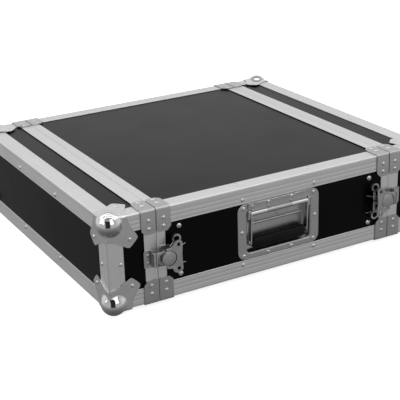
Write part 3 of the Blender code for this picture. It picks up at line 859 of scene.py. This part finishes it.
def latch_hub():
    """Post, drum and face turned in one over the stud, an off-centre rivet, and the wing's hinge pin."""
    profile = [(0, 0.0136), (0.0028, 0.0136), (0.0028, 0.0026), (post_radius, 0.0026), (post_radius, 0.0128)]
    profile += [(0.0107, 0.0128), (0.0107, 0.0148), (hub_radius, 0.0151), (hub_radius, 0.0163)]
    profile += [(0.0109, 0.0167), (0.0103, 0.0168), (0, 0.0168)]
    outward = facing((0, 0, 0), (1, 0, 0))
    shape = turned(bmesh.new(), profile, outward, 48)
    rivet = [(0, 0.0166), (0.0017, 0.0166), (0.0015, 0.01695), (0.0009, 0.0171), (0, 0.0171)]
    turned(shape, rivet, Matrix.Translation((0, 0.0026, -0.0018)) @ outward, 16)
    x, y = wing_pin
    rod(shape, 0.0008, (x, y, -0.0145), (x, y, 0.0145))
    return finished(shape, limit=25)


def latch_wing():
    """Drawn from its hinge pin: a crescent round the hub, a lobe each end and knuckles on the pin."""
    shift = -wing_pin[1]
    lobe = (0.0153, 0.0193, 0.0072)
    upper = [(0.0212, 0.0)]
    for step in range(15):
        turn = math.radians(-16 + 176 * step / 14)
        upper.append((lobe[0] + lobe[2] * math.cos(turn), lobe[1] + lobe[2] * math.sin(turn)))
    upper += [(0.0035, 0.0172), (-0.0045, 0.0156)]
    start = math.acos(-0.0045 / hub_clear)
    for step in range(13):
        turn = start * (1 - step / 12)
        upper.append((hub_clear * math.cos(turn), hub_clear * math.sin(turn)))
    lower = [(y, -z) for y, z in reversed(upper[1:-1])]
    outline = [(y + shift, z) for y, z in upper + lower]
    holes = [circle(lobe[0] + shift, side * lobe[1], 0.0031) for side in (-1, 1)]
    shape = slab(bmesh.new(), [outline, *holes], -0.0001, 0.0016, "X")
    for side in (-1, 1):
        near, far = sorted((side * 0.0121, side * 0.0150))
        slab(shape, [circle(0, 0, 0.0017, 16), circle(0, 0, 0.0010, 16)], near, far, "Z")
    return finished(shape, 0.0003, limit=50)


def latch_keeper():
    plate = rectangle(-0.0355, -0.0140, -0.0212, 0.0140, 0.002)
    shape = slab(bmesh.new(), [plate], 0.0003, 0.0018, "X")
    lip = [(0.0018, -0.0233), (0.0046, -0.0233), (0.0058, -0.0226), (0.0058, -0.0214), (0.0018, -0.0212)]
    loft(shape, [[(x, y, z) for x, y in lip] for z in (-0.0130, 0.0130)])
    for side in (-1, 1):
        dome_rivet(shape, facing((0.0018, -0.0285, side * 0.0063), (1, 0, 0)), 0.0056, 0.0012)
    return finished(shape, 0.0002)


latch_parts = {
    "base": latch_base(),
    "hook": latch_hook(),
    "hub": latch_hub(),
    "wing": latch_wing(),
    "keeper": latch_keeper(),
}
for end, sy in (("front", -1), ("rear", 1)):
    for side, sx in (("left", -1), ("right", 1)):
        name = f"{end}_{side}_latch"
        centre = Vector((sx * half_x, sy * latch_y, middle_z - latch_low))
        signs = (sx, -sy, 1)
        for part, mesh in latch_parts.items():
            body = {"base": "case_body", "keeper": f"{end}_lid"}.get(part, f"{name}_{part}")
            x, y = wing_pin if part == "wing" else (0, 0)
            place = centre + Vector((sx * x, -sy * y, 0))
            node = f"{name}_{part}"
            show(f"{node}_shaped", mesh, latch_zinc, body, [node], place, signs)


# ---- Sprung handles ----
# A zinc plated dish pressed with its flange, a spring cover riveted in it, and a chromed bail with a
# black rubber grip that swings on a hinge pin below the leaf at the top.

flange_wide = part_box("right_handle_dish")[1].y * 2
flange_high = 0.0944
dish_half = 0.0595
dish_low = -0.0365
dish_top = 0.0326
dish_deep = 0.0126
bail_axis = (0.0010, 0.0290)
grip_place = (-0.0045, -0.0500)


def handle_dish():
    """One pressing, built up loop by loop from the back of its pan, over the flange, to its floor."""

    def loop(grow, high, radius):
        sides = (-dish_half - grow, dish_low - grow, dish_half + grow, dish_top + grow)
        return [(high, y, z) for y, z in rectangle(*sides, radius, 7)]

    def flange(shrink, high):
        sides = (flange_wide / 2 - shrink, flange_high / 2 - shrink)
        return [(high, y, z) for y, z in rectangle(-sides[0], -sides[1], *sides, 0.014 - shrink, 7)]

    wall = 0.0015
    loops = [loop(wall, -dish_deep - wall, 0.0065), loop(wall, -0.0013, 0.0065)]
    loops += [flange(0, -0.0013), flange(0, -0.0001), flange(0.0003, 0.0002), flange(0.0010, 0.0002)]
    lip = 0.0026
    loops.append(loop(lip + 0.0006, 0.0002, 0.0082))
    for step in range(6):
        turn = math.radians(90 * step / 5)
        grow = lip * (1 - math.sin(turn))
        loops.append(loop(grow, 0.0002 - lip * (1 - math.cos(turn)), 0.005 + grow))
    bend = 0.0025
    for step in range(5):
        turn = math.radians(90 * step / 4)
        shrink = bend * (1 - math.cos(turn))
        loops.append(loop(-shrink, -dish_deep + bend * (1 - math.sin(turn)), 0.005 - shrink * 0.6))
    return finished(loft(bmesh.new(), loops), limit=60)


def spring_cover():
    """The cover over the return spring, its lower edge rolled, with three small rivets."""
    high = -0.0075
    front = rectangle(-0.048, 0.0115, 0.048, 0.0235, 0.001)
    shape = slab(bmesh.new(), [front], -dish_deep - 0.0003, high, "X")
    rod(shape, 0.0023, (high + 0.0003, -0.0475, 0.0092), (high + 0.0003, 0.0475, 0.0092), 20)
    rod(shape, 0.0008, (high + 0.0001, -0.0475, 0.0130), (high + 0.0001, 0.0475, 0.0130), 12)
    for y in (-0.043, 0, 0.043):
        dome_rivet(shape, facing((high, y, 0.0172), (1, 0, 0)), 0.0056, 0.0014)
    return finished(shape, 0.0003)


def hinge_leaf():
    """The fixed leaf on the flange, its middle knuckle, and the small bumps pressed in its edge."""
    x, z = bail_axis
    half = [(0.0525, 0.0330, 0), (0.0525, 0.0368, 0), (0.0580, 0.0368, 0), (0.0580, 0.0466, 0.002)]
    outline = rounded(half + [(-y, up, radius) for y, up, radius in reversed(half)])
    shape = slab(bmesh.new(), [outline], 0.0003, 0.0020, "X")
    beads = [(-0.057, -0.0505), (-0.0435, -0.0245), (-0.0175, -0.003), (0.003, 0.0190), (0.0265, 0.0420)]
    for start, end in beads:
        rod(shape, 0.0009, (0.0019, start, 0.0460), (0.0019, end, 0.0460), 10)
    slab(shape, [rectangle(-0.0222, z + 0.002, 0.0222, 0.0345)], 0.0003, 0.0018, "X")
    slab(shape, [circle(x, z, 0.0037, 24), circle(x, z, 0.0018, 24)], -0.0222, 0.0222, "Y")
    for y, up, across_bump in ((-0.0510, 0.0412, 0.0066), (-0.021, 0.0368, 0.0052), (0.021, 0.0368, 0.0044)):
        dome_rivet(shape, facing((0.0020, y, up), (1, 0, 0)), across_bump, 0.0013)
    for y in (0, 0.045):
        rod(shape, 0.0007, (0.0019, y - 0.0022, 0.0455), (0.0019, y, 0.0423), 8)
        rod(shape, 0.0007, (0.0019, y, 0.0423), (0.0019, y + 0.0022, 0.0455), 8)
    return finished(shape, 0.0003)


def handle_bail():
    """Drawn from its pin: two rolled knuckles, ears and straps, the rod in the grip and its bolts."""
    x, z = grip_place
    shape = rod(bmesh.new(), 0.003, (x, -0.053, z), (x, 0.053, z))
    slope = math.atan2(z, x)
    for side in (-1, 1):
        strap = []
        for step in range(13):
            turn = slope + math.radians(90 + 180 * step / 12)
            strap.append((0.0033 * math.cos(turn), 0.0033 * math.sin(turn)))
        for step in range(13):
            turn = slope + math.radians(-90 + 180 * step / 12)
            strap.append((x + 0.0052 * math.cos(turn), z + 0.0052 * math.sin(turn)))
        slab(shape, [strap], *sorted((side * 0.0520, side * 0.0540)), "Y")
        rolled = [circle(0, 0, 0.0037, 24), circle(0, 0, 0.0018, 24)]
        slab(shape, rolled, *sorted((side * 0.0227, side * 0.0524)), "Y")
        turned(shape, [(0, 0), (0.0035, 0), (0.0035, 0.0012), (0.0026, 0.0020), (0, 0.0022)],
               facing((x, side * 0.0537, z), (0, side, 0)), 16)
        rod(shape, 0.0022, (0.0012, side * 0.0562, 0.0062), (-0.0004, side * 0.0562, -0.0090), 16)
    return finished(shape, 0.0003)


def handle_grip():
    """A moulded sleeve, a squared oval in section, drawn in a little at each end."""
    x, z = grip_place
    loops = []
    ends = [(0.0495, 0.70), (0.0475, 0.90), (0.0440, 1.0)]
    for y, size in [(-y, size) for y, size in ends] + ends[::-1]:
        loop = []
        for step in range(32):
            turn = 2 * math.pi * step / 32
            wide = math.copysign(abs(math.cos(turn)) ** 0.8, math.cos(turn))
            tall = math.copysign(abs(math.sin(turn)) ** 0.8, math.sin(turn))
            loop.append((x + 0.0073 * size * wide, y, z - 0.0012 + 0.0097 * size * tall))
        loops.append(loop)
    return finished(loft(bmesh.new(), loops), limit=50)


def rubber_finish():
    """Black rubber: matt and finely pebbled, with a faint grey bloom, most of it on its outer edges."""
    made, start, shader = new_finish("grip_rubber")
    place = start.node("TexCoord", out="Object")
    pebble = start.node("TexVoronoi", inputs={"Vector": place, "Scale": 900.0})
    bloom = start.node("TexNoise", inputs={"Vector": place, "Scale": 40.0, "Detail": 5.0})
    bloom = bloom + worn_edges(start) * 0.5
    bloom.blend(grey(0.0010), grey(0.0035)).feed(shader["Base Color"])
    (0.42 + bloom * 0.16).feed(shader["Roughness"])
    relief = pebble * 0.7 + bloom * 0.3
    start.node("Bump", inputs={"Strength": 0.20, "Distance": 0.0002, "Height": relief}).feed(shader["Normal"])
    shader["Specular IOR Level"].default_value = 0.12
    return made


dish_zinc = plated_finish("dish_plate", 0.34, 0.54, 0.24)
pin_mesh = finished(rod(bmesh.new(), 0.0015, (0, -0.0545, 0), (0, 0.0545, 0)))
handle_parts = {
    "dish": (handle_dish(), dish_zinc, "zinc_plated_steel"),
    "hinge_leaf": (hinge_leaf(), dish_zinc, "zinc_plated_steel"),
    "hinge_pin": (pin_mesh, rivet_steel, "zinc_plated_steel"),
    "bail": (handle_bail(), chrome_finish("satin_chrome", 0.24), "chromed_steel"),
    "grip": (handle_grip(), rubber_finish(), "black_rubber"),
}
cover_mesh = spring_cover()
flange_rivets = bmesh.new()
for y, z in ((0.066, 0.0400), (0.066, -0.0405), (0.069, 0), (-0.069, 0), (-0.066, 0.0400), (-0.066, -0.0405)):
    dome_rivet(flange_rivets, facing((0.0002, y, z), (1, 0, 0)), 0.0070, 0.0018)
for y in (-0.021, 0.023):
    dome_rivet(flange_rivets, facing((0.0019, y, 0.0432), (1, 0, 0)), 0.0070, 0.0018)
    dome_rivet(flange_rivets, facing((0.0002, y, -0.0430), (1, 0, 0)), 0.0070, 0.0018)
flange_rivets = finished(flange_rivets)
for side, sx in (("left", -1), ("right", 1)):
    for part, (mesh, finish, slot) in handle_parts.items():
        node = f"{side}_handle_{part}"
        swings = part in ("bail", "grip")
        body = f"{side}_handle_bail" if swings else "case_body"
        place = Vector((sx * half_x, 0, middle_z))
        if swings or part == "hinge_pin":
            place += Vector((sx * bail_axis[0], 0, bail_axis[1]))
        show(f"{node}_shaped", mesh, finish, body, [node], place, (sx, 1, 1))
    place = (sx * half_x, 0, middle_z)
    name = f"{side}_handle_spring_cover"
    show(name, cover_mesh, dish_zinc, "case_body", place=place, signs=(sx, 1, 1))
    name = f"{side}_handle_flange_rivets"
    show(name, flange_rivets, rivet_steel, "case_body", place=place, signs=(sx, 1, 1))


# ---- Rack rails ----
# Folded 2 mm steel with a square hole for a cage nut at each place in the rack, powder coated black
# and held through the sides by dome-headed bolts.


def powder_coat_finish():
    """Black powder coat: an orange-peel skin with small nibs, rubbed a little where the units slide."""
    made, start, shader = new_finish("black_powder_coat")
    place = start.node("TexCoord", out="Object")
    peel = start.node("TexNoise", inputs={"Vector": place, "Scale": 520.0, "Detail": 2.0})
    wear = start.node("TexNoise", inputs={"Vector": place, "Scale": 35.0, "Detail": 6.0})
    wear = wear + worn_edges(start) * 0.6
    wear.blend(grey(0.006), grey(0.016)).feed(shader["Base Color"])
    (0.36 + wear * 0.18).feed(shader["Roughness"])
    start.node("Bump", inputs={"Strength": 0.20, "Distance": 0.0002, "Height": peel}).feed(shader["Normal"])
    return made


powder_coat = powder_coat_finish()
for end in ("front", "rear"):
    for side in ("left", "right"):
        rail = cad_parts[f"{end}_{side}_rack_rail"]
        rail.material_slots[0].material = powder_coat
        round_edges(rail, 0.0003, 50)

rail_bolts = bmesh.new()
panel_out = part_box("right_side_panel")[1].x
bolt_y = 0.179
bolt_across = 0.0088
bolt_tall = 0.0032
for sx in (-1, 1):
    for sy in (-1, 1):
        for z in (0.0390, -0.0400):
            spot = (sx * panel_out, sy * bolt_y, middle_z + z)
            dome_rivet(rail_bolts, facing(spot, (sx, 0, 0)), bolt_across, bolt_tall)
show("rail_bolts", finished(rail_bolts), rivet_steel, "case_body")


# ---- Rivets of the angles ----
# Steel blind rivets with dome heads, set through each leg of an angle into the ply behind it. The body's
# stand either side of the handles; each lid's stand two to a long edge and one to each end.

side_row = half_z - 0.0200
top_row = half_x - 0.0195
lid_top_row = half_y - 0.0193
body_rivet_y = 0.0675
lid_rivet_x = 0.077
lid_side_rivet_y = 0.2786
lid_end_rivet_x = 0.2448
body_rivets = bmesh.new()
for sx in (-1, 1):
    for sz in (-1, 1):
        for y in (-body_rivet_y, body_rivet_y):
            dome_rivet(body_rivets, facing((sx * half_x, y, middle_z + sz * side_row), (sx, 0, 0)))
            dome_rivet(body_rivets, facing((sx * top_row, y, middle_z + sz * half_z), (0, 0, sz)))
show("body_angle_rivets", finished(body_rivets), rivet_steel, "case_body")
for end, sy in (("front", -1), ("rear", 1)):
    lid_rivets = bmesh.new()
    for sz in (-1, 1):
        for x in (-lid_rivet_x, lid_rivet_x):
            dome_rivet(lid_rivets, facing((x, sy * lid_top_row, middle_z + sz * half_z), (0, 0, sz)))
            dome_rivet(lid_rivets, facing((x, sy * half_y, middle_z + sz * side_row), (0, sy, 0)))
    for sx in (-1, 1):
        dome_rivet(lid_rivets, facing((sx * half_x, sy * lid_side_rivet_y, middle_z), (sx, 0, 0)))
        dome_rivet(lid_rivets, facing((sx * lid_end_rivet_x, sy * half_y, middle_z), (0, sy, 0)))
    show(f"{end}_lid_angle_rivets", finished(lid_rivets), rivet_steel, f"{end}_lid")
